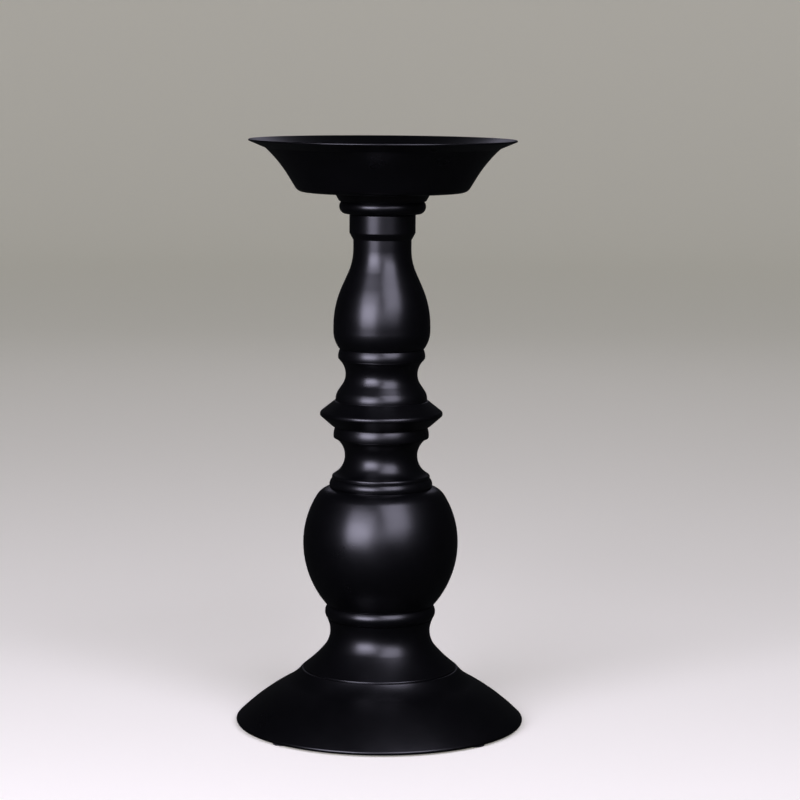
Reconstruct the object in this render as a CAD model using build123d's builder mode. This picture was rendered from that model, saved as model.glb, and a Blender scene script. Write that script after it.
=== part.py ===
from build123d import *
import os
from math import asin, atan2, cos, degrees, radians, sin, sqrt

os.makedirs("parts", exist_ok=True)

# A turned pillar candle holder: pressed and spun steel shells, stacked with turned rings on one tie rod.
# Millimetres, +Z up, origin on the table at the centre of the foot.

# Driving sizes
foot_radius = 62.5
ball_radius = 33.6
nose_radius = 26.5
vase_radius = 20.9
neck_radius = 12.5
collar_radius = 14.2
dish_radius = 57.6
sheet = 0.8
press_radius = 1.0
rod_radius = 3.0

# Heights of the joints between the pieces, above the table
pad_top = 0.8
foot_top = 24.4
foot_neck_top = 46.2
ball_bottom = 52.4
ball_middle = 79.8
ball_top = 104.3
spool_bottom = 108.0
spool_top = 125.5
flange_bottom = 130.7
flange_middle = 135.9
flange_top = 141.8
waist_top = 159.8
vase_bottom = 164.3
vase_top = 211.4
collar_top = 222.4
dish_bottom = 227.6
dish_floor = 232.4

# Fits: the holes pressed in the shells, the spigots that centre them, and the holes for the rod
shell_hole = 12.2
spigot_radius = 12.0
spigot_length = 2.0
rod_hole = 3.4
barrel_radius = 4.0
barrel_hole = 4.3
thread_clearance = 0.05


def waisted_side(start, end, start_radius, end_radius):
    """Turn and straight run of an S-shaped side that is upright at both ends.

    The side leaves start on an arc of start_radius, leans in by the turn, goes straight for the run,
    and comes upright again at end on an arc of end_radius.
    """
    both = start_radius + end_radius
    inward = start[0] - end[0]
    rise = end[1] - start[1]
    run = sqrt((inward - both) ** 2 + rise**2 - both**2)
    turn = degrees(atan2(run, -both) - atan2(rise, inward - both))
    return turn, run


# Four foam pads, stuck under the foot's turned-in hem
pad_radius = 4.0
pad_circle = 57.8
pad_angles = {"back_right": 45, "back_left": 135, "front_left": 225, "front_right": 315}
pads = {}
for corner, angle in pad_angles.items():
    with BuildPart() as base_pad:
        with BuildSketch():
            with PolarLocations(pad_circle, 1, start_angle=angle):
                Circle(pad_radius)
        extrude(amount=pad_top)
    pads[f"base_pad_{corner}"] = base_pad

# The foot: one spun bell with a flat crown, a short cove, a domed skirt and a hem turned in flat
crown_edge = (34.0, foot_top)
crown_edge_radius = 0.6
skirt_start = (41.0, 18.3)
skirt_lean = radians(61.0)
skirt_end = (foot_radius, 2.1)
skirt_edge_radius = 0.9
hem_outer = (foot_radius, pad_top)
hem_inner = (53.0, pad_top)
hem_radius = 0.85
with BuildPart() as foot_bell:
    with BuildSketch(Plane.XZ):
        with BuildLine() as bell_line:
            Line((rod_hole, foot_top), crown_edge)
            TangentArc(skirt_start, crown_edge, tangent=(-sin(skirt_lean), cos(skirt_lean)))
            TangentArc(skirt_start, skirt_end, tangent=(sin(skirt_lean), -cos(skirt_lean)))
            Polyline(skirt_end, hem_outer, hem_inner)
            fillet(bell_line.vertices().sort_by_distance(crown_edge)[0], crown_edge_radius)
            fillet(bell_line.vertices().sort_by_distance(skirt_end)[0], skirt_edge_radius)
            fillet(bell_line.vertices().sort_by_distance(hem_outer)[0], hem_radius)
            offset(amount=sheet, side=Side.RIGHT)
        make_face()
    revolve(axis=Axis.Z)

# The foot's neck: a spun cove that stands on the bell's crown and closes in under the ring above
cove_waist = (21.7, 40.8)
cove_radius = 11.5
cove_turn = 40.0
cove_shoulder = (22.7, 45.6)
flare_end = (32.9, 25.2)
flare_rim = (33.3, 24.95)
flare_rim_radius = 0.6
with BuildPart() as foot_neck:
    with BuildSketch(Plane.XZ):
        with BuildLine() as neck_line:
            Polyline((shell_hole, foot_neck_top), (22.95, foot_neck_top), cove_shoulder)
            TangentArc(cove_waist, cove_shoulder, tangent=(0, 1))
            cove = JernArc(cove_waist, tangent=(0, -1), radius=cove_radius, arc_size=cove_turn)
            TangentArc(cove @ 1, flare_end, tangent=cove % 1)
            Polyline(flare_end, flare_rim, (flare_rim[0], foot_top))
            fillet(neck_line.vertices().sort_by_distance(flare_rim)[0], flare_rim_radius)
            offset(amount=sheet, side=Side.RIGHT)
        make_face()
    revolve(axis=Axis.Z)

# The turned ring between the foot and the ball: a round bead with a spigot above and below
seat_bead = (24.0, 49.3)
seat_bead_edge = 22.6
with BuildPart() as ball_seat_ring:
    with BuildSketch(Plane.XZ):
        with BuildLine():
            Polyline(
                (seat_bead_edge, foot_neck_top),
                (spigot_radius, foot_neck_top),
                (spigot_radius, foot_neck_top - spigot_length),
                (rod_hole, foot_neck_top - spigot_length),
                (rod_hole, ball_bottom + spigot_length),
                (spigot_radius, ball_bottom + spigot_length),
                (spigot_radius, ball_bottom),
                (seat_bead_edge, ball_bottom),
            )
            ThreePointArc((seat_bead_edge, foot_neck_top), seat_bead, (seat_bead_edge, ball_bottom))
        make_face()
    revolve(axis=Axis.Z)

# The ball: two pressed halves that meet edge to edge round the middle, each with a flat holed end
ball_lower_corner = (23.2, ball_bottom)
with BuildPart() as ball_lower_half:
    with BuildSketch(Plane.XZ):
        with BuildLine() as lower_line:
            TangentArc((ball_radius, ball_middle), ball_lower_corner, tangent=(0, -1))
            Line(ball_lower_corner, (shell_hole, ball_bottom))
            fillet(lower_line.vertices().sort_by_distance(ball_lower_corner)[0], press_radius)
            offset(amount=sheet, side=Side.RIGHT)
        make_face()
    revolve(axis=Axis.Z)

ball_side_arc = 38.6
ball_shoulder_arc = 9.0
ball_side_rise = ball_top - ball_middle - ball_shoulder_arc
ball_side_turn = degrees(asin(ball_side_rise / (ball_side_arc - ball_shoulder_arc)))
with BuildPart() as ball_upper_half:
    with BuildSketch(Plane.XZ):
        with BuildLine():
            side = JernArc(
                (ball_radius, ball_middle), tangent=(0, 1), radius=ball_side_arc, arc_size=ball_side_turn
            )
            shoulder = JernArc(
                side @ 1, tangent=side % 1, radius=ball_shoulder_arc, arc_size=90 - ball_side_turn
            )
            Line(shoulder @ 1, (shell_hole, ball_top))
            offset(amount=sheet, side=Side.LEFT)
        make_face()
    revolve(axis=Axis.Z)

# The turned ring on top of the ball, which carries the spool's lower mouth round its upper spigot
cap_bead_bottom = 22.15
cap_bead = (22.3, 105.3)
cap_bead_top = 21.0
cap_mouth_spigot = (19.0, 109.2)
with BuildPart() as ball_cap_ring:
    with BuildSketch(Plane.XZ):
        with BuildLine():
            Polyline(
                (cap_bead_bottom, ball_top),
                (spigot_radius, ball_top),
                (spigot_radius, ball_top - spigot_length),
                (rod_hole, ball_top - spigot_length),
                (rod_hole, cap_mouth_spigot[1]),
                cap_mouth_spigot,
                (cap_mouth_spigot[0], spool_bottom),
                (cap_bead_top, spool_bottom),
            )
            ThreePointArc((cap_bead_bottom, ball_top), cap_bead, (cap_bead_top, spool_bottom))
        make_face()
    revolve(axis=Axis.Z)

# The spool: a spun tube drawn in at the middle, with a rolled mouth at each end
spool_lower_rim = (21.2, 109.26)
spool_lower_end = (20.0, 110.0)
spool_waist = (15.7, 117.8)
spool_upper_end = (19.1, 124.95)
spool_upper_rim = (19.3, 125.15)
spool_roll_radius = 1.1
with BuildPart() as spool:
    with BuildSketch(Plane.XZ):
        with BuildLine() as spool_line:
            Polyline((spool_lower_rim[0], spool_bottom), spool_lower_rim, spool_lower_end)
            ThreePointArc(spool_lower_end, spool_waist, spool_upper_end)
            Polyline(spool_upper_end, spool_upper_rim, (spool_upper_rim[0], spool_top))
            fillet(spool_line.vertices().sort_by_distance(spool_lower_rim)[0], spool_roll_radius)
            offset(amount=sheet, side=Side.LEFT)
        make_face()
    revolve(axis=Axis.Z)

# The turned ring under the flange: a plain band with eased edges and a spigot above and below
flange_ring_radius = 20.65
flange_ring_spigot = (16.5, 124.3)
flange_ring_edge = 1.2
with BuildPart() as flange_ring:
    with BuildSketch(Plane.XZ) as flange_ring_section:
        with BuildLine():
            Polyline(
                (flange_ring_radius, flange_bottom),
                (flange_ring_radius, spool_top),
                (flange_ring_spigot[0], spool_top),
                flange_ring_spigot,
                (rod_hole, flange_ring_spigot[1]),
                (rod_hole, flange_bottom + spigot_length),
                (spigot_radius, flange_bottom + spigot_length),
                (spigot_radius, flange_bottom),
                close=True,
            )
        make_face()
        fillet(flange_ring_section.vertices().group_by(Axis.X)[-1], flange_ring_edge)
    revolve(axis=Axis.Z)

# The drip flange: two pressed saucers that meet edge to edge at the nose
lower_saucer_edge = (21.1, flange_bottom)
lower_nose = (nose_radius, 135.45)
lower_nose_radius = 0.9
with BuildPart() as flange_lower_saucer:
    with BuildSketch(Plane.XZ):
        with BuildLine() as saucer_line:
            Polyline(
                (shell_hole, flange_bottom),
                lower_saucer_edge,
                lower_nose,
                (nose_radius, flange_middle),
            )
            fillet(saucer_line.vertices().sort_by_distance(lower_saucer_edge)[0], press_radius)
            fillet(saucer_line.vertices().sort_by_distance(lower_nose)[0], lower_nose_radius)
            offset(amount=sheet, side=Side.LEFT)
        make_face()
    revolve(axis=Axis.Z)

upper_saucer_edge = (20.2, flange_top)
upper_nose = (nose_radius, 136.8)
upper_nose_radius = 1.5
with BuildPart() as flange_upper_saucer:
    with BuildSketch(Plane.XZ):
        with BuildLine() as saucer_line:
            Polyline(
                (shell_hole, flange_top),
                upper_saucer_edge,
                upper_nose,
                (nose_radius, flange_middle),
            )
            fillet(saucer_line.vertices().sort_by_distance(upper_saucer_edge)[0], press_radius)
            fillet(saucer_line.vertices().sort_by_distance(upper_nose)[0], upper_nose_radius)
            offset(amount=sheet, side=Side.RIGHT)
        make_face()
    revolve(axis=Axis.Z)

# The turned plug that centres the waist cup's lower mouth on the upper saucer
plug_radius = 18.6
plug_height = 1.6
with BuildPart() as waist_plug:
    with BuildSketch(Plane.XZ):
        with BuildLine():
            Polyline(
                (rod_hole, flange_top - spigot_length),
                (spigot_radius, flange_top - spigot_length),
                (spigot_radius, flange_top),
                (plug_radius, flange_top),
                (plug_radius, flange_top + plug_height),
                (rod_hole, flange_top + plug_height),
                close=True,
            )
        make_face()
    revolve(axis=Axis.Z)

# The waist: a spun cup with a rounded shoulder that runs up into a cove and flares to the bead
waist_foot = (19.8, flange_top)
waist_shoulder = (19.8, 142.4)
waist_shoulder_arc = 6.8
waist_narrow = (15.55, 153.2)
waist_cove_arc = 8.0
waist_flare = (18.2, 159.4)
waist_turn, waist_run = waisted_side(waist_shoulder, waist_narrow, waist_shoulder_arc, waist_cove_arc)
with BuildPart() as waist_cup:
    with BuildSketch(Plane.XZ):
        with BuildLine():
            Line(waist_foot, waist_shoulder)
            shoulder = JernArc(
                waist_shoulder, tangent=(0, 1), radius=waist_shoulder_arc, arc_size=waist_turn
            )
            slope = PolarLine(shoulder @ 1, waist_run, direction=shoulder % 1)
            JernArc(slope @ 1, tangent=slope % 1, radius=waist_cove_arc, arc_size=-waist_turn)
            TangentArc(waist_narrow, waist_flare, tangent=(0, 1))
            Line(waist_flare, (waist_flare[0], waist_top))
            offset(amount=sheet, side=Side.LEFT)
        make_face()
    revolve(axis=Axis.Z)

# The turned bead ring under the vase
bead_radius = 18.8
bead_ring_spigot = (15.6, 158.6)
bead_ring_edge = 1.3
with BuildPart() as bead_ring:
    with BuildSketch(Plane.XZ) as bead_ring_section:
        with BuildLine():
            Polyline(
                (bead_radius, vase_bottom),
                (bead_radius, waist_top),
                (bead_ring_spigot[0], waist_top),
                bead_ring_spigot,
                (rod_hole, bead_ring_spigot[1]),
                (rod_hole, vase_bottom + spigot_length),
                (spigot_radius, vase_bottom + spigot_length),
                (spigot_radius, vase_bottom),
                close=True,
            )
        make_face()
        fillet(bead_ring_section.vertices().group_by(Axis.X)[-1], bead_ring_edge)
    revolve(axis=Axis.Z)

# The vase: a spun body with a round base, a full belly and a long shoulder drawn in to the neck
vase_base = (18.3, vase_bottom)
belly_bottom = (vase_radius, 172.0)
belly_top = (vase_radius, 174.0)
vase_shoulder_arc = 42.0
vase_neck_start = (neck_radius, 207.0)
vase_neck_arc = 24.5
vase_turn, vase_run = waisted_side(belly_top, vase_neck_start, vase_shoulder_arc, vase_neck_arc)
with BuildPart() as vase_body:
    with BuildSketch(Plane.XZ):
        with BuildLine() as vase_line:
            Line((shell_hole, vase_bottom), vase_base)
            TangentArc(belly_bottom, vase_base, tangent=(0, -1))
            Line(belly_bottom, belly_top)
            shoulder = JernArc(
                belly_top, tangent=(0, 1), radius=vase_shoulder_arc, arc_size=vase_turn
            )
            slope = PolarLine(shoulder @ 1, vase_run, direction=shoulder % 1)
            JernArc(slope @ 1, tangent=slope % 1, radius=vase_neck_arc, arc_size=-vase_turn)
            Line(vase_neck_start, (neck_radius, vase_top))
            fillet(vase_line.vertices().sort_by_distance(vase_base)[0], press_radius)
            offset(amount=sheet, side=Side.LEFT)
        make_face()
    revolve(axis=Axis.Z)

# The turned collar: its spigot stops the vase's neck, and the sleeve nut's barrel passes through it
collar_taper_top = 214.2
collar_spigot = (11.5, 207.4)
collar_step = 0.2
collar_edge_radius = 0.8
with BuildPart() as neck_collar:
    with BuildSketch(Plane.XZ) as collar_section:
        with BuildLine():
            Polyline(
                (barrel_hole, collar_spigot[1]),
                collar_spigot,
                (collar_spigot[0], vase_top),
                (neck_radius + collar_step, vase_top),
                (collar_radius, collar_taper_top),
                (collar_radius, collar_top),
                (barrel_hole, collar_top),
                close=True,
            )
        make_face()
        fillet(collar_section.vertices().group_by(Axis.X)[-1], collar_edge_radius)
    revolve(axis=Axis.Z)

# The turned ring under the dish
dish_ring_underside = 16.6
dish_ring_bead = (18.6, 225.3)
dish_ring_top = 17.8
with BuildPart() as dish_seat_ring:
    with BuildSketch(Plane.XZ):
        with BuildLine():
            Polyline(
                (dish_ring_underside, collar_top),
                (barrel_hole, collar_top),
                (barrel_hole, dish_bottom),
                (dish_ring_top, dish_bottom),
            )
            ThreePointArc(
                (dish_ring_underside, collar_top), dish_ring_bead, (dish_ring_top, dish_bottom)
            )
        make_face()
    revolve(axis=Axis.Z)

# The candle dish: one spun pan with a sunk well for the nut, a flat floor, a flared wall and a turned lip
well_corner = (18.6, dish_bottom)
floor_underside = dish_floor - sheet
well_top = (20.9, floor_underside)
floor_corner = (36.3, floor_underside)
wall_low = (40.2, 238.0)
lip_bend = (50.3, 250.3)
lip_edge = (dish_radius, 253.37)
floor_corner_radius = 4.0
lip_bend_radius = 3.0
lip_edge_radius = 0.35
with BuildPart() as candle_dish:
    with BuildSketch(Plane.XZ) as dish_section:
        with BuildLine() as dish_line:
            Polyline((barrel_hole, dish_bottom), well_corner, well_top, floor_corner, wall_low)
            TangentArc(
                wall_low,
                lip_bend,
                tangent=(wall_low[0] - floor_corner[0], wall_low[1] - floor_corner[1]),
            )
            Line(lip_bend, lip_edge)
            fillet(dish_line.vertices().sort_by_distance(well_corner)[0], press_radius)
            fillet(dish_line.vertices().sort_by_distance(well_top)[0], press_radius)
            fillet(dish_line.vertices().sort_by_distance(floor_corner)[0], floor_corner_radius)
            fillet(dish_line.vertices().sort_by_distance(lip_bend)[0], lip_bend_radius)
            offset(amount=sheet, side=Side.LEFT)
        make_face()
        fillet(dish_section.vertices().sort_by_distance(lip_edge)[:2], lip_edge_radius)
    revolve(axis=Axis.Z)

# The fastening in the well: a washer and a flat-headed sleeve nut, both below the candle's seat
well_floor = dish_bottom + sheet
dish_washer_radius = 10.5
dish_washer_height = 1.0
washer_top = well_floor + dish_washer_height
nut_head_radius = 8.5
nut_head_height = 2.4
nut_head_edge = 0.8
nut_head_top = washer_top + nut_head_height
nut_head_rim = (nut_head_radius, nut_head_top)
nut_barrel_end = 214.0
nut_bore_top = 227.4
socket_width = 4.0
socket_depth = 1.8
with BuildPart() as dish_washer:
    with BuildSketch(Plane.XY.offset(well_floor)):
        Circle(dish_washer_radius)
        Circle(barrel_hole, mode=Mode.SUBTRACT)
    extrude(amount=dish_washer_height)

with BuildPart() as sleeve_nut:
    with BuildSketch(Plane.XZ) as sleeve_section:
        with BuildLine():
            Polyline(
                (0, nut_head_top),
                nut_head_rim,
                (nut_head_radius, washer_top),
                (barrel_radius, washer_top),
                (barrel_radius, nut_barrel_end),
                (rod_radius + thread_clearance, nut_barrel_end),
                (rod_radius + thread_clearance, nut_bore_top),
                (0, nut_bore_top),
                close=True,
            )
        make_face()
        fillet(sleeve_section.vertices().sort_by_distance(nut_head_rim)[0], nut_head_edge)
    revolve(axis=Axis.Z)
    with BuildSketch(Plane.XY.offset(nut_head_top)):
        RegularPolygon(radius=socket_width / 2, side_count=6, major_radius=False)
    extrude(amount=-socket_depth, mode=Mode.SUBTRACT)

# The tie rod and what draws it tight under the foot's crown
rod_bottom = 12.0
rod_top = 226.6
rod_end_chamfer = 0.6
clamp_washer_radius = 20.0
clamp_washer_height = 2.0
clamp_washer_edge = 0.5
spring_washer_radius = 5.9
spring_washer_hole = 3.2
spring_washer_height = 1.6
split_width = 1.0
split_slant = 20.0
nut_height = 5.0
nut_width = 10.0
nut_corner_chamfer = 0.45
crown_underside = foot_top - sheet
clamp_washer_bottom = crown_underside - clamp_washer_height
spring_washer_bottom = clamp_washer_bottom - spring_washer_height
nut_bottom = spring_washer_bottom - nut_height
with BuildPart() as tie_rod:
    with BuildSketch(Plane.XY.offset(rod_bottom)):
        Circle(rod_radius)
    extrude(amount=rod_top - rod_bottom)
    chamfer(tie_rod.edges().filter_by(GeomType.CIRCLE), rod_end_chamfer)

with BuildPart() as clamp_washer:
    with BuildSketch(Plane.XY.offset(clamp_washer_bottom)):
        Circle(clamp_washer_radius)
        Circle(rod_hole, mode=Mode.SUBTRACT)
    extrude(amount=clamp_washer_height)
    fillet(clamp_washer.edges().group_by(Axis.Z)[0].sort_by(SortBy.LENGTH)[-1], clamp_washer_edge)

with BuildPart() as spring_washer:
    with BuildSketch(Plane.XY.offset(spring_washer_bottom)):
        Circle(spring_washer_radius)
        Circle(spring_washer_hole, mode=Mode.SUBTRACT)
        with Locations(((spring_washer_radius + spring_washer_hole) / 2, 0)):
            Rectangle(rod_radius + 1, split_width, rotation=split_slant, mode=Mode.SUBTRACT)
    extrude(amount=spring_washer_height)

# The nut's six corners are turned off to a cone at both ends
nut_corner_radius = nut_width / sqrt(3)
nut_face_radius = nut_width / 2
with BuildPart() as bottom_nut:
    with BuildSketch(Plane.XY.offset(nut_bottom)):
        RegularPolygon(radius=nut_width / 2, side_count=6, major_radius=False)
        Circle(rod_radius + thread_clearance, mode=Mode.SUBTRACT)
    extrude(amount=nut_height)
    with BuildSketch(Plane.XZ):
        with BuildLine():
            Polyline(
                (0, nut_bottom),
                (nut_face_radius, nut_bottom),
                (nut_corner_radius, nut_bottom + nut_corner_chamfer),
                (nut_corner_radius, spring_washer_bottom - nut_corner_chamfer),
                (nut_face_radius, spring_washer_bottom),
                (0, spring_washer_bottom),
                close=True,
            )
        make_face()
    revolve(axis=Axis.Z, mode=Mode.INTERSECT)

pieces = {
    **pads,
    "foot_bell": foot_bell,
    "foot_neck": foot_neck,
    "ball_seat_ring": ball_seat_ring,
    "ball_lower_half": ball_lower_half,
    "ball_upper_half": ball_upper_half,
    "ball_cap_ring": ball_cap_ring,
    "spool": spool,
    "flange_ring": flange_ring,
    "flange_lower_saucer": flange_lower_saucer,
    "flange_upper_saucer": flange_upper_saucer,
    "waist_plug": waist_plug,
    "waist_cup": waist_cup,
    "bead_ring": bead_ring,
    "vase_body": vase_body,
    "neck_collar": neck_collar,
    "dish_seat_ring": dish_seat_ring,
    "candle_dish": candle_dish,
    "dish_washer": dish_washer,
    "sleeve_nut": sleeve_nut,
    "tie_rod": tie_rod,
    "clamp_washer": clamp_washer,
    "spring_washer": spring_washer,
    "bottom_nut": bottom_nut,
}
for name, piece in pieces.items():
    piece.part.label = name
    export_step(piece.part, f"parts/{name}.step")
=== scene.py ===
import math

import bpy
import numpy as np
from mathutils import Matrix, Vector


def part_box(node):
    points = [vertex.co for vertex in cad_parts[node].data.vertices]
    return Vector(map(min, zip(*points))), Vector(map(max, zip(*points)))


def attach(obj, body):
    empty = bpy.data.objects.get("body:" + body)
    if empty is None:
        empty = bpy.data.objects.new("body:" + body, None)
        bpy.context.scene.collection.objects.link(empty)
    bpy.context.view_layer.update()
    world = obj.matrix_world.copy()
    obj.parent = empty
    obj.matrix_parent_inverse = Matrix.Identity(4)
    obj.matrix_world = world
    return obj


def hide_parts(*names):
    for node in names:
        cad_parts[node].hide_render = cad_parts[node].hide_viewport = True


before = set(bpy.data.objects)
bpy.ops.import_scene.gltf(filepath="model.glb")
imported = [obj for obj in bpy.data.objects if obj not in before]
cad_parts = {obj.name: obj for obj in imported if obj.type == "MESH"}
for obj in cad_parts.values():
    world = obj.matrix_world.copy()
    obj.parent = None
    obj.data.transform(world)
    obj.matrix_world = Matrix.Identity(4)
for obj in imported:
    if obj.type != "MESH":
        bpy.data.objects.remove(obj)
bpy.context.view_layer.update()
mm = 0.001
print(f"frame loaded: {len(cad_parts)} CAD nodes")


# Outlines. An outline is a list of bands in the plane of radius and height, in mm. A band gives, for shares
# from 0 to 1 of its way, the points and the unit vectors along it.

def makeBand(at, length, turn):
    return {"at": at, "length": length, "turn": abs(turn), "first": 0.0, "last": 1.0}


def line(a, b):
    # from a straight to b
    a, b = np.array(a, float), np.array(b, float)
    length = np.linalg.norm(b - a)

    def at(share):
        return a + np.outer(share, b - a), np.tile((b - a) / length, (len(share), 1))

    return makeBand(at, length, 0)


def lines(*points):
    return [line(a, b) for a, b in zip(points, points[1:])]


def arc(centre, radius, start, turn):
    # centre plus radius times the unit vector of the angle start + share x turn. A plus turn goes to the left
    def at(share):
        angle = start + turn * share
        spoke = np.stack([np.cos(angle), np.sin(angle)], 1)
        along = np.sign(turn) * np.stack([-spoke[:, 1], spoke[:, 0]], 1)
        return np.array(centre) + radius * spoke, along

    return makeBand(at, radius * abs(turn), turn)


def arcFrom(a, way, b):
    # the arc that leaves a along way and ends at b. Its centre lies square to the way, as far from a as it
    # is from b
    a, b, way = np.array(a, float), np.array(b, float), np.array(way, float)
    left = np.array([-way[1], way[0]]) / np.linalg.norm(way)
    chord = b - a
    reach = chord @ chord / (2 * chord @ left)
    centre = a + left * reach
    start, end = (math.atan2(*(p - centre)[::-1]) for p in (a, b))
    turn = math.remainder(end - start, 2 * math.pi)
    if turn * reach < 0:
        turn += math.copysign(2 * math.pi, reach)
    return arc(centre, abs(reach), start, turn)


def arcInto(a, b, way):
    # the arc from a that arrives at b along way
    return turnedRound(arcFrom(b, -np.array(way, float), a))


def arcThrough(a, middle, b):
    # the arc from a through middle to b: its way at a is found from the angle on the chord at middle
    a, m, b = (np.array(p, float) for p in (a, middle, b))
    atMiddle = math.atan2(*(b - m)[::-1]) - math.atan2(*(m - a)[::-1])
    bend = math.remainder(atMiddle, 2 * math.pi)
    angle = math.atan2(*(b - a)[::-1]) - bend
    return arcFrom(a, (math.cos(angle), math.sin(angle)), b)


def arcTurning(a, way, radius, turn):
    # leaves a along way and turns by turn degrees on the radius, to the left for a plus turn
    way = np.array(way, float) / np.linalg.norm(way)
    side = math.copysign(1, turn)
    centre = np.array(a, float) + side * radius * np.array([-way[1], way[0]])
    start = math.atan2(*(np.array(a, float) - centre)[::-1])
    return arc(centre, radius, start, math.radians(turn))


def turnedRound(one):
    def at(share):
        points, along = one["at"](1 - np.asarray(share))
        return points, -along

    return makeBand(at, one["length"], one["turn"])


def endOf(one, share=1.0):
    points, along = one["at"](np.array([share]))
    return points[0], along[0]


def waisted(start, end, startRadius, endRadius):
    # an S-shaped side, upright at both ends: an arc that leans in, a straight run, and an arc back
    both = startRadius + endRadius
    inward, rise = start[0] - end[0], end[1] - start[1]
    run = math.sqrt((inward - both) ** 2 + rise ** 2 - both ** 2)
    turn = math.degrees(math.atan2(run, -both) - math.atan2(rise, inward - both))
    shoulder = arcTurning(start, (0, 1), startRadius, turn)
    corner, way = endOf(shoulder)
    slope = line(corner, corner + run * way)
    return [shoulder, slope, arcTurning(corner + run * way, way, endRadius, -turn)]


def eased(bands, corners):
    # rounds the numbered corners, each to its radius. A corner's number is that of the band after it. Both
    # bands are cut back by the radius times the tangent of half the turn, and a conic with the middle
    # weight cos(half the turn), the circle's own, joins them
    bands = [dict(one) for one in bands]
    result = []
    for number, one in enumerate(bands):
        radius = corners.get(number, 0)
        if radius:
            before = bands[number - 1]
            wayIn, wayOut = endOf(before, before["last"])[1], endOf(one, one["first"])[1]
            half = math.acos(np.clip(wayIn @ wayOut, -1, 1)) / 2
            back = radius * math.tan(half)
            before["last"] -= back / before["length"]
            one["first"] += back / one["length"]
            result[-1] = before
            result.append(conic(endOf(before, before["last"]), endOf(one, one["first"])))
        result.append(one)
    return result


def conic(start, end):
    # (1-s)^2 a + 2 w s (1-s) q + s^2 b, over the sum of the weights, with q where the two end lines cross
    (a, wayA), (b, wayB) = start, end
    reach = np.linalg.solve(np.stack([wayA, wayB], 1), b - a)[0]
    q = a + wayA * reach
    turn = math.acos(np.clip(wayA @ wayB, -1, 1))
    w = math.cos(turn / 2)

    def at(share):
        s = np.asarray(share)[:, None]
        top = (1 - s) ** 2 * a + 2 * w * s * (1 - s) * q + s ** 2 * b
        under = (1 - s) ** 2 + 2 * w * s * (1 - s) + s ** 2
        topSlope = -2 * (1 - s) * a + 2 * w * (1 - 2 * s) * q + 2 * s * b
        underSlope = -2 * (1 - s) + 2 * w * (1 - 2 * s) + 2 * s
        along = topSlope * under - top * underSlope
        return top / under, along / np.linalg.norm(along, axis=1, keepdims=True)

    return makeBand(at, 2 * reach * w, turn)


# Rows. Each row of an outline's table is a point, the way into it and the way out of it, which makes six
# numbers: r, z, in r, in z, out r, out z.

fineness = {
    "turn": math.radians(5),      # how far a round stretch may turn between two points
    "step": 2.5,                  # mm between two points at most
    "sides": 160,                 # round the axis
    "samePoint": 1e-5,            # mm
    "slack": 0.997,               # the share of a wall's thickness that still counts as all of it
    "sharp": math.radians(45),    # edges beside a flat cap that turn by more than this stay hard
}


def walk(bands):
    # the bands' points, one row each, close enough that a round stretch turns by no more than the fineness
    parts = []
    for one in bands:
        share = one["last"] - one["first"]
        count = max(1, one["turn"] * share / fineness["turn"], one["length"] * share / fineness["step"])
        points, along = one["at"](np.linspace(one["first"], one["last"], math.ceil(count) + 1))
        parts.append(np.hstack([points, along, along]))
    return joined(parts)


def joined(parts):
    # one table from several. Where two meet in a point it is kept once, and a gap becomes a straight run
    table = parts[0].copy()
    for part in parts[1:]:
        part = part.copy()
        gap = part[0, :2] - table[-1, :2]
        if np.linalg.norm(gap) < fineness["samePoint"]:
            table[-1, 4:] = part[0, 4:]
            part = part[1:]
        else:
            table[-1, 4:] = part[0, 2:4] = gap / np.linalg.norm(gap)
        table = np.vstack([table, part])
    return table


def backwards(table):
    table = table[::-1]
    return np.hstack([table[:, :2], -table[:, 4:], -table[:, 2:4]])


def closed(table):
    # the last row runs on to the first
    gap = table[0, :2] - table[-1, :2]
    table = table.copy()
    if np.linalg.norm(gap) < fineness["samePoint"]:
        table[0, 2:4] = table[-1, 2:4]
        return table[:-1]
    table[-1, 4:] = table[0, 2:4] = gap / np.linalg.norm(gap)
    return table


def otherFace(table, thickness):
    # a wall's second face: every point moved by the thickness to the left of its way. Points that come
    # nearer to the outline are dropped, and the faces beside such a gap run on until they cross
    ways = np.stack([table[:, 2:4], table[:, 4:]], 1)
    left = np.stack([-ways[..., 1], ways[..., 0]], 2)
    points = (table[:, None, :2] + thickness * left).reshape(-1, 2)
    ways = ways.reshape(-1, 2)
    a, b = table[:-1, :2], table[1:, :2]
    along = ((points[:, None] - a) * (b - a)).sum(2) / ((b - a) ** 2).sum(1)
    nearest = a + np.clip(along, 0, 1)[..., None] * (b - a)
    distance = np.linalg.norm(points[:, None] - nearest, axis=2).min(1)
    fresh = np.ones(len(points), bool)
    fresh[1:] = np.linalg.norm(np.diff(points, axis=0), axis=1) > fineness["samePoint"]
    kept = np.flatnonzero((distance > abs(thickness) * fineness["slack"]) & fresh)
    pieces, first = [], 0
    for gap in [*np.flatnonzero(np.diff(kept) > 2), len(kept) - 1]:
        run = kept[first:gap + 1]
        pieces.append(np.hstack([points[run], ways[run], ways[run]]))
        first = gap + 1
    table = pieces[0]
    for piece in pieces[1:]:
        wayIn, wayOut = table[-1, 4:], piece[0, 2:4]
        between = piece[0, :2] - table[-1, :2]
        reach = np.linalg.solve(np.stack([wayIn, wayOut], 1), between)[0]
        crossing = np.hstack([table[-1, :2] + wayIn * reach, wayIn, wayOut])[None]
        table = joined([table, crossing, piece])
    return table


def wall(bands, thickness, roundEnd=False):
    # a sheet's whole section: one face, round or straight across its end, and back along the other
    face = walk(bands)
    back = backwards(otherFace(face, thickness))
    if roundEnd:
        turn = math.copysign(180, thickness)
        end = walk([arcTurning(face[-1, :2], face[-1, 4:], abs(thickness) / 2, turn)])
        return closed(joined([face, end, back]))
    return closed(joined([face, back]))


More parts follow.
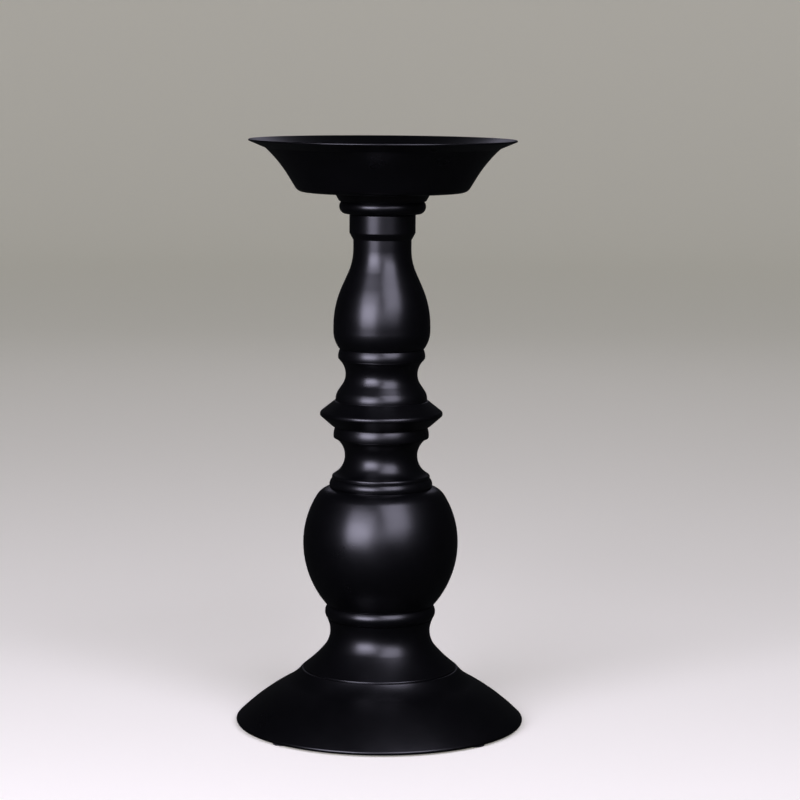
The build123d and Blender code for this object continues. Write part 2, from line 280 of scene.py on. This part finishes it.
def newPiece(name, points, faces):
    mesh = bpy.data.meshes.new(name)
    mesh.from_pydata(points.reshape(-1, 3).tolist(), [], faces)
    mesh.shade_smooth()
    piece = bpy.data.objects.new(name, mesh)
    bpy.context.scene.collection.objects.link(piece)
    return piece


def gridFaces(rows, sides, closedRows):
    # ring i meets ring i + 1, and side j meets side j + 1. Rings that climb while their points go round to
    # the left give outward faces
    i = np.arange(rows if closedRows else rows - 1)[:, None]
    j = np.arange(sides)
    here, up, right = i * sides + j, (i + 1) % rows * sides + j, (j + 1) % sides - j
    return np.stack([here, here + right, up + right, up], 2).reshape(-1, 4)


def revolved(name, table):
    # ring i, side j: (r cos a, r sin a, z) with the closed table's points as (r, z). The normal is the way
    # turned to the right, so a table that runs the other way round is turned about first
    r, z = table[:, 0], table[:, 1]
    if (r * np.roll(z, -1) - np.roll(r, -1) * z).sum() < 0:
        table = backwards(table)
    rows, sides = len(table), fineness["sides"]
    angle = np.arange(sides) * 2 * math.pi / sides

    def spun(radial, upward):
        return np.stack([np.outer(radial, np.cos(angle)), np.outer(radial, np.sin(angle)),
                         np.outer(upward, np.ones(sides))], 2)

    piece = newPiece(name, spun(table[:, 0], table[:, 1]) * mm, gridFaces(rows, sides, True).tolist())
    normalIn, normalOut = (spun(table[:, k + 1], -table[:, k]) for k in (2, 4))
    above, beside = np.roll(normalIn, -1, 0), [np.roll(normal, -1, 1) for normal in (normalOut, normalIn)]
    corners = np.stack([normalOut, beside[0], np.roll(beside[1], -1, 0), above], 2)
    piece.data.normals_split_custom_set(corners.reshape(-1, 3).tolist())
    return piece


def capped(name, points, bottom=True):
    # a stack of rings from the bottom up, closed by a flat face at the top and, where asked, at the bottom
    rows, sides = points.shape[:2]
    faces = gridFaces(rows, sides, False).tolist() + [list(range((rows - 1) * sides, rows * sides))]
    if bottom:
        faces.append(list(range(sides))[::-1])
    piece = newPiece(name, points * mm, faces)
    piece.data.set_sharp_from_angle(angle=fineness["sharp"])
    return piece


# Materials


def linear(hexColour):
    # an sRGB hex value as linear red, green, blue and alpha
    channels = [int(hexColour[k:k + 2], 16) / 255 for k in (1, 3, 5)]
    return [c / 12.92 if c <= 0.04045 else ((c + 0.055) / 1.055) ** 2.4 for c in channels] + [1]


def addNode(tree, kind, settings=None, links=None):
    # settings are the node's own properties or its sockets' values. Links join its sockets to other outputs
    node = tree.nodes.new(kind)
    for key, value in (settings or {}).items():
        if isinstance(key, str) and hasattr(node, key):
            setattr(node, key, value)
        else:
            node.inputs[key].default_value = value
    for key, source in (links or {}).items():
        tree.links.new(source, node.inputs[key])
    return node


def newMaterial(name):
    material = bpy.data.materials.new(name)
    material.use_nodes = True
    material.node_tree.nodes.clear()
    tree = material.node_tree
    place = addNode(tree, "ShaderNodeTexCoord").outputs["Object"]
    return material, tree, place


def finishMaterial(tree, shader):
    addNode(tree, "ShaderNodeOutputMaterial", links={"Surface": shader.outputs[0]})


def noise(tree, place, size, detail, **settings):
    # a noise with features of the given size in mm
    settings = {**settings, "Scale": 1 / (size * mm), "Detail": detail}
    return addNode(tree, "ShaderNodeTexNoise", settings, {"Vector": place}).outputs["Fac"]


def spread(tree, factor, limits):
    # the middle of a noise, where most of its values lie, stretched to run between the two limits
    low, high = limits
    settings = {"From Min": 0.3, "From Max": 0.7, "To Min": low, "To Max": high}
    return addNode(tree, "ShaderNodeMapRange", settings, {"Value": factor}).outputs[0]


def worked(tree, operation, *terms):
    return addNode(tree, "ShaderNodeMath", {"operation": operation}, dict(enumerate(terms))).outputs[0]


def blended(tree, factor, colours):
    # between two sRGB hex colours
    mix = addNode(tree, "ShaderNodeMix", {"data_type": "RGBA"}, {0: factor})
    mix.inputs[6].default_value, mix.inputs[7].default_value = map(linear, colours)
    return mix.outputs[2]


def bumped(tree, height, depth, **links):
    # depth in mm
    settings = {"Strength": 1.0, "Distance": depth * mm}
    return addNode(tree, "ShaderNodeBump", settings, {"Height": height, **links}).outputs[0]


blackCoat = {
    "colour": "#020203",
    "ior": 1.5,
    "roughness": (0.27, 0.33),
    "cloudSize": 18.0,       # mm across a duller patch
    "ringSpacing": 1.6,      # mm between the spinning tool's marks
    "ringDepth": 0.007,      # mm
    "peelSize": 1.1,         # mm across a bump of the sprayed coat
    "peelDepth": 0.003,      # mm
}


def satinBlackLacquer(values):
    # black stoving lacquer sprayed on spun steel: soft grey highlights over near black, faint rings left by
    # the spinning tool, and a very fine orange peel. The rings are a noise over radius and height
    material, tree, place = newMaterial("satinBlackLacquer")
    x, y, z = addNode(tree, "ShaderNodeSeparateXYZ", links={"Vector": place}).outputs
    radius = worked(tree, "SQRT", worked(tree, "MULTIPLY_ADD", y, y, worked(tree, "MULTIPLY", x, x)))
    section = addNode(tree, "ShaderNodeCombineXYZ", links={"X": radius, "Y": z}).outputs[0]
    rings = noise(tree, section, values["ringSpacing"], 3.0, noise_dimensions="2D", Roughness=0.6)
    peel = noise(tree, place, values["peelSize"], 2.0)
    clouds = noise(tree, place, values["cloudSize"], 4.0, Roughness=0.55)
    ringBump = bumped(tree, rings, values["ringDepth"])
    shader = addNode(
        tree, "ShaderNodeBsdfPrincipled", {"Base Color": linear(values["colour"]), "IOR": values["ior"]},
        {"Roughness": spread(tree, clouds, values["roughness"]),
         "Normal": bumped(tree, peel, values["peelDepth"], Normal=ringBump)})
    finishMaterial(tree, shader)
    return material


lacquer = satinBlackLacquer(blackCoat)

zincPlate = {
    "colours": ("#b9c3cb", "#cfcbb9"),
    "patchSize": 5.0,        # mm across a patch of the passivation's tint
    "roughness": (0.24, 0.38),
    "grainSize": 0.12,       # mm
    "grainDepth": 0.002,     # mm
}


def zincPlatedSteel(values):
    # bright zinc, blue passivated: a cool white metal with faint straw patches and a fine matt grain
    material, tree, place = newMaterial("zincPlatedSteel")
    patches = noise(tree, place, values["patchSize"], 3.0)
    grain = noise(tree, place, values["grainSize"], 2.0)
    shader = addNode(
        tree, "ShaderNodeBsdfPrincipled", {"Metallic": 1.0},
        {"Base Color": blended(tree, patches, values["colours"]),
         "Roughness": spread(tree, grain, values["roughness"]),
         "Normal": bumped(tree, grain, values["grainDepth"])})
    finishMaterial(tree, shader)
    return material


blackOxide = {
    "colours": ("#131315", "#1d1815"),
    "ior": 2.42,
    "patchSize": 2.5,        # mm
    "roughness": (0.34, 0.50),
    "grainSize": 0.10,       # mm
    "grainDepth": 0.002,     # mm
}


def blackOxideSteel(values):
    # steel blackened in a hot salt bath and oiled: blue-black magnetite with brownish clouds and a dull
    # sheen
    material, tree, place = newMaterial("blackOxideSteel")
    patches = noise(tree, place, values["patchSize"], 4.0)
    grain = noise(tree, place, values["grainSize"], 2.0)
    shader = addNode(
        tree, "ShaderNodeBsdfPrincipled", {"IOR": values["ior"]},
        {"Base Color": blended(tree, patches, values["colours"]),
         "Roughness": spread(tree, patches, values["roughness"]),
         "Normal": bumped(tree, grain, values["grainDepth"])})
    finishMaterial(tree, shader)
    return material


padFoam = {
    # the first, darker tone is painted shade, laid in the cells' pits; the second sits on the ridges between
    # them
    "colours": ("#17171a", "#26262a"),
    "ior": 1.45,
    "roughness": 0.92,
    "cellSize": 0.35,        # mm
    "cellDepth": 0.06,       # mm
}


def evaFoam(values):
    # closed-cell EVA foam, die-cut: dull charcoal, pitted with fine cells, with painted shade that darkens
    # each cell's pit
    material, tree, place = newMaterial("evaFoam")
    settings = {"Scale": 1 / (values["cellSize"] * mm)}
    cellPitsAndPaintedShade = addNode(tree, "ShaderNodeTexVoronoi", settings, {"Vector": place}).outputs["Distance"]
    shader = addNode(
        tree, "ShaderNodeBsdfPrincipled", {"Roughness": values["roughness"], "IOR": values["ior"]},
        # painted shade: the colour goes darker where the cells dip, following the same pattern as the bump
        {"Base Color": blended(tree, cellPitsAndPaintedShade, values["colours"]),
         "Normal": bumped(tree, cellPitsAndPaintedShade, values["cellDepth"])})
    finishMaterial(tree, shader)
    return material


zinc, oxide, foam = zincPlatedSteel(zincPlate), blackOxideSteel(blackOxide), evaFoam(padFoam)
print("materials made")


# Pieces. Their lengths are in mm, and a pair of numbers is a radius and a height.


def extent(name):
    # a CAD node's lowest and highest point and its outer radius, in mm
    low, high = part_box(name)
    return low.z / mm, high.z / mm, high.x / mm


def dress(piece, node, material):
    # gives a piece its material in a new slot, hangs it under the root body and hides the CAD node it stands
    # in for
    piece.data.materials.append(material)
    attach(piece, "root")
    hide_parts(node)
    return piece


def coat(piece, node):
    # for the shells and rings, which all have the black coat
    return dress(piece, node, lacquer)


sheet = 0.8
rodHole = 3.4
shellHole = 12.2
pressRadius = 1.0
spigotRadius = 12.0
spigotLength = 2.0
barrelHole = 4.3

footBottom, footTop, footRadius = extent("foot_bell")
foot = {
    "crownEdge": 34.0,
    "crownEdgeRadius": 0.6,
    "skirtStart": (41.0, 18.3),
    "skirtLean": 61.0,      # degrees from upright, where the skirt leaves the crown's curve
    "skirtEnd": 1.3,        # above the hem
    "skirtEdgeRadius": 0.9,
    "hemInner": 53.0,
    "hemRadius": 0.85,
}


def footBell(values):
    lean = math.radians(values["skirtLean"])
    way = (math.sin(lean), -math.cos(lean))
    crown = (values["crownEdge"], footTop)
    skirtEnd = (footRadius, footBottom + values["skirtEnd"])
    bands = [
        line((rodHole, footTop), crown),
        arcInto(crown, values["skirtStart"], way),
        arcFrom(values["skirtStart"], way, skirtEnd),
        line(skirtEnd, (footRadius, footBottom)),
        line((footRadius, footBottom), (values["hemInner"], footBottom)),
    ]
    easings = {1: values["crownEdgeRadius"], 3: values["skirtEdgeRadius"], 4: values["hemRadius"]}
    return revolved("foot_bell_skin", wall(eased(bands, easings), -sheet))


coat(footBell(foot), "foot_bell")

neckTop = extent("foot_neck")[1]
cove = {
    "shoulder": (22.7, 45.6),
    "shoulderRim": 22.95,
    "waist": (21.7, 40.8),
    "radius": 11.5,
    "turn": 40.0,
    "flareEnd": (32.9, 25.2),
    "flareRim": (33.3, 24.95),
    "rimRadius": 0.6,
}


def footNeck(values):
    waist = values["waist"]
    turning = arcTurning(waist, (0, -1), values["radius"], values["turn"])
    corner, way = endOf(turning)
    rim = values["flareRim"]
    bands = [
        *lines((shellHole, neckTop), (values["shoulderRim"], neckTop), values["shoulder"]),
        turnedRound(arcFrom(waist, (0, 1), values["shoulder"])),
        turning,
        arcFrom(corner, way, values["flareEnd"]),
        *lines(values["flareEnd"], rim, (rim[0], footTop)),
    ]
    return revolved("foot_neck_skin", wall(eased(bands, {6: values["rimRadius"]}), -sheet))


coat(footNeck(cove), "foot_neck")
print("foot made")

ballBottom, ballMiddle, ballRadius = extent("ball_lower_half")
ballTop = extent("ball_upper_half")[1]
ball = {
    "lowerCorner": 23.2,
    "sideRadius": 38.6,
    "shoulderRadius": 9.0,
    "beadRadius": 24.0,
    "beadEdge": 22.6,
}


def ballSeatRing(values):
    edge, middle = values["beadEdge"], (neckTop + ballBottom) / 2
    bands = [
        *lines((spigotRadius, ballBottom + spigotLength), (rodHole, ballBottom + spigotLength),
               (rodHole, neckTop - spigotLength), (spigotRadius, neckTop - spigotLength),
               (spigotRadius, neckTop), (edge, neckTop)),
        arcThrough((edge, neckTop), (values["beadRadius"], middle), (edge, ballBottom)),
        *lines((edge, ballBottom), (spigotRadius, ballBottom), (spigotRadius, ballBottom + spigotLength)),
    ]
    return revolved("ball_seat_ring_skin", closed(walk(bands)))


def ballLowerHalf(values):
    corner = (values["lowerCorner"], ballBottom)
    bands = [arcFrom((ballRadius, ballMiddle), (0, -1), corner), line(corner, (shellHole, ballBottom))]
    return revolved("ball_lower_skin", wall(eased(bands, {1: pressRadius}), -sheet))


def ballUpperHalf(values):
    side, shoulder = values["sideRadius"], values["shoulderRadius"]
    turn = math.degrees(math.asin((ballTop - ballMiddle - shoulder) / (side - shoulder)))
    sideBand = arcTurning((ballRadius, ballMiddle), (0, 1), side, turn)
    shoulderBand = arcTurning(*endOf(sideBand), shoulder, 90 - turn)
    bands = [sideBand, shoulderBand, line(endOf(shoulderBand)[0], (shellHole, ballTop))]
    return revolved("ball_upper_skin", wall(bands, sheet))


coat(ballSeatRing(ball), "ball_seat_ring")
coat(ballLowerHalf(ball), "ball_lower_half")
coat(ballUpperHalf(ball), "ball_upper_half")

spoolBottom, spoolTop, _ = extent("spool")
capRing = {
    "bottomEdge": 22.15,
    "bead": (22.3, 105.3),
    "topEdge": 21.0,
    "mouthSpigot": (19.0, 109.2),
}
spool = {
    "lowerRim": (21.2, 109.26),
    "lowerEnd": (20.0, 110.0),
    "waist": (15.7, 117.8),
    "upperEnd": (19.1, 124.95),
    "upperRim": (19.3, 125.15),
    "rollRadius": 1.1,
}


def ballCapRing(values):
    low, high = (values["bottomEdge"], ballTop), (values["topEdge"], spoolBottom)
    mouth = values["mouthSpigot"]
    bands = [
        arcThrough(low, values["bead"], high),
        *lines(high, (mouth[0], spoolBottom), mouth, (rodHole, mouth[1]), (rodHole, ballTop - spigotLength),
               (spigotRadius, ballTop - spigotLength), (spigotRadius, ballTop), low),
    ]
    return revolved("ball_cap_ring_skin", closed(walk(bands)))


def spoolTube(values):
    low, high = values["lowerRim"], values["upperRim"]
    bands = [
        *lines((low[0], spoolBottom), low, values["lowerEnd"]),
        arcThrough(values["lowerEnd"], values["waist"], values["upperEnd"]),
        *lines(values["upperEnd"], high, (high[0], spoolTop)),
    ]
    return revolved("spool_skin", wall(eased(bands, {1: values["rollRadius"]}), sheet))


coat(ballCapRing(capRing), "ball_cap_ring")
coat(spoolTube(spool), "spool")
print("ball and spool made")

flangeBottom, flangeMiddle, noseRadius = extent("flange_lower_saucer")
flangeTop = extent("flange_upper_saucer")[1]
flange = {
    "bandRadius": 20.65,
    "bandCrown": 9.0,        # the crowned face's own radius
    "bandWidest": 1.3,       # above its lower face
    "bandEdge": 0.5,
    "bandSpigot": (16.5, 124.3),
    "lowerEdge": 21.1,
    "lowerNose": 135.45,
    "lowerNoseRadius": 0.9,
    "upperEdge": 20.2,
    "upperNose": 136.8,
    "upperNoseRadius": 1.5,
}


def bandRing(name, values, low, high):
    # a solid ring with a spigot at each end. An arc about the level of its widest point crowns its face
    spigot, edge, crown = values["bandSpigot"], values["bandEdge"], values["bandCrown"]
    widest = (values["bandRadius"], low + values["bandWidest"])

    def face(level):
        return widest[0] - crown + math.sqrt(crown ** 2 - (level - widest[1]) ** 2), level

    bands = [
        *lines((rodHole, high + spigotLength), (rodHole, spigot[1]), spigot, (spigot[0], low), face(low)),
        turnedRound(arcFrom(widest, (0, -1), face(low))),
        arcFrom(widest, (0, 1), face(high)),
        *lines(face(high), (spigotRadius, high), (spigotRadius, high + spigotLength),
               (rodHole, high + spigotLength)),
    ]
    return revolved(name, closed(walk(eased(bands, {4: edge, 6: edge}))))


def lowerSaucer(values):
    bands = lines((shellHole, flangeBottom), (values["lowerEdge"], flangeBottom),
                  (noseRadius, values["lowerNose"]), (noseRadius, flangeMiddle))
    easings = {1: pressRadius, 2: values["lowerNoseRadius"]}
    return revolved("flange_lower_skin", wall(eased(bands, easings), sheet))


def upperSaucer(values):
    bands = lines((shellHole, flangeTop), (values["upperEdge"], flangeTop),
                  (noseRadius, values["upperNose"]), (noseRadius, flangeMiddle))
    easings = {1: pressRadius, 2: values["upperNoseRadius"]}
    return revolved("flange_upper_skin", wall(eased(bands, easings), -sheet))


coat(bandRing("flange_ring_skin", flange, spoolTop, flangeBottom), "flange_ring")
coat(lowerSaucer(flange), "flange_lower_saucer")
coat(upperSaucer(flange), "flange_upper_saucer")

waistBottom, waistTop, waistRadius = extent("waist_cup")
vaseBottom, vaseTop, vaseRadius = extent("vase_body")
waist = {
    "shoulder": 142.4,
    "shoulderRadius": 6.8,
    "narrow": (15.55, 153.2),
    "coveRadius": 8.0,
    "flare": (18.2, 159.4),
    "bandRadius": 18.8,
    "bandCrown": 7.0,
    "bandWidest": 1.2,
    "bandEdge": 0.5,
    "bandSpigot": (15.6, 158.6),
}


def waistCup(values):
    flare = values["flare"]
    bands = [
        line((waistRadius, waistBottom), (waistRadius, values["shoulder"])),
        *waisted((waistRadius, values["shoulder"]), values["narrow"], values["shoulderRadius"],
                 values["coveRadius"]),
        arcFrom(values["narrow"], (0, 1), flare),
        line(flare, (flare[0], waistTop)),
    ]
    return revolved("waist_cup_skin", wall(bands, sheet))


coat(waistCup(waist), "waist_cup")
coat(bandRing("bead_ring_skin", waist, waistTop, vaseBottom), "bead_ring")
print("flange and waist made")

vase = {
    "base": 18.3,
    "bellyBottom": 172.0,
    "bellyTop": 174.0,
    "shoulderRadius": 42.0,
    "neckRadius": 12.5,
    "neckStart": 207.0,
    "neckCoveRadius": 24.5,
}
collar = {
    "radius": 14.2,
    "taperTop": 214.2,
    "step": 0.2,
    "edge": 0.8,
    "spigot": (11.5, 207.4),
}
collarTop = extent("neck_collar")[1]


def vaseBody(values):
    base = (values["base"], vaseBottom)
    bellyBottom, bellyTop = (vaseRadius, values["bellyBottom"]), (vaseRadius, values["bellyTop"])
    neckStart = (values["neckRadius"], values["neckStart"])
    bands = [
        line((shellHole, vaseBottom), base),
        arcInto(base, bellyBottom, (0, 1)),
        line(bellyBottom, bellyTop),
        *waisted(bellyTop, neckStart, values["shoulderRadius"], values["neckCoveRadius"]),
        line(neckStart, (neckStart[0], vaseTop)),
    ]
    return revolved("vase_body_skin", wall(eased(bands, {1: pressRadius}), sheet))


def neckCollar(values):
    radius, spigot = values["radius"], values["spigot"]
    bands = lines(
        (barrelHole, collarTop), (barrelHole, spigot[1]), spigot, (spigot[0], vaseTop),
        (vase["neckRadius"] + values["step"], vaseTop), (radius, values["taperTop"]), (radius, collarTop),
        (barrelHole, collarTop))
    return revolved("neck_collar_skin", closed(walk(eased(bands, {5: values["edge"], 6: values["edge"]}))))


coat(vaseBody(vase), "vase_body")
coat(neckCollar(collar), "neck_collar")

dishBottom = extent("candle_dish")[0]
dish = {
    "wellDepth": 4.8,
    "ringUnderside": 16.6,
    "ringBead": (18.6, 225.3),
    "ringTop": 17.8,
    "wellCorner": 18.6,
    "wellTop": 20.9,
    "floorCorner": 36.3,
    "floorCornerRadius": 4.0,
    "wallLow": (40.2, 238.0),
    "lipBend": (50.3, 250.3),
    "lipBendRadius": 3.0,
    "lipEdge": (57.6, 253.37),
}
dishFloor = dishBottom + dish["wellDepth"]


def dishSeatRing(values):
    low, high = (values["ringUnderside"], collarTop), (values["ringTop"], dishBottom)
    bands = [
        arcThrough(low, values["ringBead"], high),
        *lines(high, (barrelHole, dishBottom), (barrelHole, collarTop), low),
    ]
    return revolved("dish_seat_ring_skin", closed(walk(bands)))


def candleDish(values):
    underFloor = dishFloor - sheet
    corner, low = np.array((values["floorCorner"], underFloor)), np.array(values["wallLow"])
    bend, edge = np.array(values["lipBend"]), np.array(values["lipEdge"])
    lip = (edge - bend) / np.linalg.norm(edge - bend)
    bands = [
        *lines((barrelHole, dishBottom), (values["wellCorner"], dishBottom), (values["wellTop"], underFloor),
               corner, low),
        arcFrom(low, low - corner, bend),
        line(bend, edge - lip * sheet / 2),
    ]
    easings = {1: pressRadius, 2: pressRadius, 3: values["floorCornerRadius"], 5: values["lipBendRadius"]}
    return revolved("candle_dish_skin", wall(eased(bands, easings), sheet, roundEnd=True))


coat(dishSeatRing(dish), "dish_seat_ring")
coat(candleDish(dish), "candle_dish")
print("vase, collar and dish made")

rodBottom, rodTop, rodRadius = extent("tie_rod")
thread = {
    "pitch": 1.0,            # an M6 thread
    "depth": 0.61,
    "length": 16.0,          # at each end of the rod
    "rowsPerTurn": 12,
    "sides": 48,
    "endChamfer": 0.6,
}


def threadedRod(values):
    # radius over height z and angle a: the rod's radius less half the depth times
    # 1 - cos(2 pi z / pitch - a), so the ridge climbs one pitch a turn. It fades over the last pitch, and the
    # ends are chamfered
    pitch, length = values["pitch"], values["length"]
    end = np.linspace(0, length, round(length / pitch * values["rowsPerTurn"]) + 1)
    z = np.concatenate([rodBottom + end, rodTop - end[::-1]])[:, None]
    angle = np.arange(values["sides"]) * 2 * math.pi / values["sides"]
    fromEnd = np.minimum(z - rodBottom, rodTop - z)
    share = np.clip((length - fromEnd) / pitch, 0, 1)
    radius = rodRadius - values["depth"] / 2 * share * (1 - np.cos(2 * math.pi * z / pitch - angle))
    radius = np.minimum(radius, rodRadius - values["endChamfer"] + fromEnd)
    points = np.stack([radius * np.cos(angle), radius * np.sin(angle), z + 0 * angle], 2)
    return capped("tie_rod_threaded", points)


dress(threadedRod(thread), "tie_rod", zinc)

pad = {
    "edge": 0.35,            # the foam's rounded edge
    "sides": 64,
    "rows": 9,
    "fill": 0.9,
}


def footPad(node, values):
    # a disc about the pad's own centre with a bulging edge: its radius is R - edge + edge sqrt(1 - u^2), with
    # u from -1 to 1 up its thickness
    low, high = (np.array(corner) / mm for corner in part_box(node))
    centre, reach = (low + high) / 2, (high[0] - low[0]) / 2
    u = np.sin(np.linspace(-0.5, 0.5, values["rows"]) * math.pi)[:, None]
    angle = np.arange(values["sides"]) * 2 * math.pi / values["sides"]
    radius = reach - values["edge"] * (1 - np.sqrt(1 - u ** 2))
    height = centre[2] + u * (high[2] - low[2]) / 2 + 0 * angle
    points = np.stack([centre[0] + radius * np.cos(angle), centre[1] + radius * np.sin(angle), height], 2)
    return capped(f"{node}_foam", points)


for corner in ("back_right", "back_left", "front_left", "front_right"):
    node = f"base_pad_{corner}"
    piece = dress(footPad(node, pad), node, foam)

turnedFinish = {
    "waist_plug": lacquer, "dish_washer": lacquer, "sleeve_nut": oxide,
    "clamp_washer": zinc, "spring_washer": zinc, "bottom_nut": zinc,
}
for name, material in turnedFinish.items():
    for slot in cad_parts[name].material_slots:
        slot.material = material
print("rod, fasteners and pads made")


# The studio


studio = {
    "aim": Vector((0, 0, 0.13)),
    # turn from the camera's side in degrees, then how far out, how high and how large, in metres, and watts
    "lights": {
        "left": {"turn": -32, "out": 1.1, "height": 0.63, "size": (0.88, 0.76), "power": 10.5},
        "leftLow": {"turn": -33, "out": 1.1, "height": 0.37, "size": (0.66, 0.52), "power": 6.6},
        "right": {"turn": 29, "out": 1.1, "height": 1.02, "size": (0.92, 1.02), "power": 15.5},
        "front": {"turn": 14, "out": 1.1, "height": 0.43, "size": (1.10, 0.36), "power": 2.6},
        "back": {"turn": 180, "out": 1.4, "height": 0.70, "size": (0.90, 0.30), "power": 0.5},
    },
    "lightColour": "#e9e5ff",
    "world": ("#8a8c92", 0.05),
    "floor": "#e9e6da",
    "floorGlow": 0.28,
    "floorRoughness": 0.9,
    # the floor's flat part in mm from its middle, and the bend that rises from its rim
    "paper": {"middle": 1, "flat": 2600, "bendRadius": 1500, "bend": 85, "sides": 96},
}


def softbox(name, values):
    # an area light that stands round the stem and is turned to it
    turn, aim = math.radians(values["turn"]), studio["aim"]
    place = Vector((math.sin(turn) * values["out"], -math.cos(turn) * values["out"], values["height"]))
    light = bpy.data.lights.new(name, "AREA")
    light.shape = "RECTANGLE"
    light.size, light.size_y = values["size"]
    light.energy = values["power"]
    light.color = linear(studio["lightColour"])[:3]
    lamp = bpy.data.objects.new(name, light)
    lamp.location = place
    lamp.rotation_mode = "QUATERNION"
    lamp.rotation_quaternion = (place - aim).to_track_quat("Z", "Y")
    lamp.visible_camera = False
    bpy.context.scene.collection.objects.link(lamp)


def paleFloor(values):
    # a round floor that curves up far away into its own backdrop, from its rim inwards. It glows a little,
    # as if lit by more lamps, and stays out of the black coat's reflections
    rim, sides = (values["flat"], 0), values["sides"]
    flat = line((values["middle"], 0), rim)
    bend = arcTurning(rim, (1, 0), values["bendRadius"], values["bend"])
    radius, height = backwards(walk([flat, bend]))[:, :2].T
    angle = np.arange(sides) * 2 * math.pi / sides
    points = np.stack([np.outer(radius, np.cos(angle)), np.outer(radius, np.sin(angle)),
                       np.outer(height, np.ones(sides))], 2)
    floor = capped("paleFloor", points, bottom=False)
    material, tree, _ = newMaterial("palePaper")
    colour = linear(studio["floor"])
    settings = {"Base Color": colour, "Roughness": studio["floorRoughness"],
                "Emission Color": colour, "Emission Strength": studio["floorGlow"]}
    finishMaterial(tree, addNode(tree, "ShaderNodeBsdfPrincipled", settings))
    floor.data.materials.append(material)
    floor.visible_glossy = False


for name, values in studio["lights"].items():
    softbox(name, values)
paleFloor(studio["paper"])
world = bpy.data.worlds.new("studioAir")
world.use_nodes = True
world.node_tree.nodes["Background"].inputs["Color"].default_value = linear(studio["world"][0])
world.node_tree.nodes["Background"].inputs["Strength"].default_value = studio["world"][1]
bpy.context.scene.world = world
bpy.context.scene.view_settings.view_transform = "Standard"

# The photograph's view: the lens in pixels of the 800 x 800 frame, the angles in degrees, and the place in
# metres
view = {
    "focalPixels": 2680.0,
    "framePixels": 800,
    "sensorWidth": 36.0,     # mm
    "pitch": 7.37,
    "roll": 0.42,
    "place": (0.00803, -1.14767, 0.2904),
}


def photographCamera(values):
    data = bpy.data.cameras.new("photographView")
    data.sensor_width = values["sensorWidth"]
    data.lens = data.sensor_width * values["focalPixels"] / values["framePixels"]
    camera = bpy.data.objects.new("photographView", data)
    pitch, roll = math.radians(90 - values["pitch"]), math.radians(values["roll"])
    camera.matrix_world = (Matrix.Translation(values["place"]) @ Matrix.Rotation(pitch, 4, "X")
                           @ Matrix.Rotation(roll, 4, "Z"))
    bpy.context.scene.collection.objects.link(camera)
    bpy.context.scene.camera = camera


photographCamera(view)
print("studio set up")
